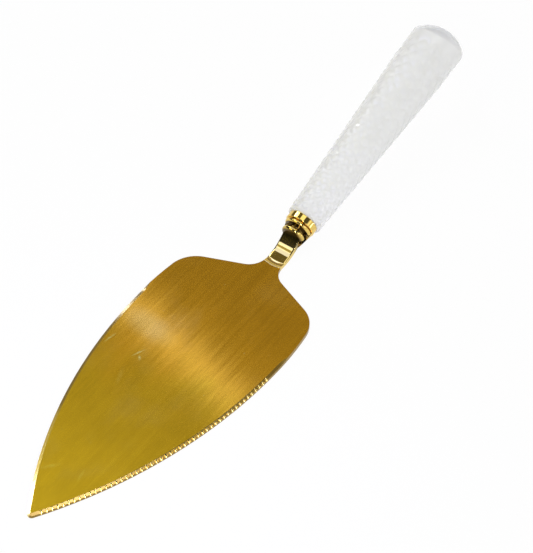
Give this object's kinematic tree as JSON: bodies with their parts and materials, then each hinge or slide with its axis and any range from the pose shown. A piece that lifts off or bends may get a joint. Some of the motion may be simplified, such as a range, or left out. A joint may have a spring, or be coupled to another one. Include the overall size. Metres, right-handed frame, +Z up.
{
  "type": "cake server",
  "caption": "Cake server with a flat leaf-shaped gilt blade serrated along one edge, a bent neck, a beaded bolster and a tapered white porcelain handle embossed with diamonds.",
  "frame": {"origin": "middle of the bounding box on the plane that the blade rests on", "axes": "+X from the blade's tip towards the handle's butt, +Y across the blade with the serrated edge on the -Y side, +Z up out of the blade's upper face"},
  "size_m": [0.2624, 0.0632, 0.0394],
  "materials": {
    "gilt_satin": "gold-plated steel, brushed along the blade, polished neck",
    "gilt_polished": "polished gilt",
    "steel": "bare rod",
    "cement": "matt set cement",
    "porcelain": "clear glaze over white porcelain"
  },
  "bodies": {
    "root": {"blade": "gilt_satin", "bolster": "gilt_polished", "ferrule": "gilt_polished", "tang": "steel", "cement": "cement", "handle": "porcelain"}
  },
  "joints": []
}
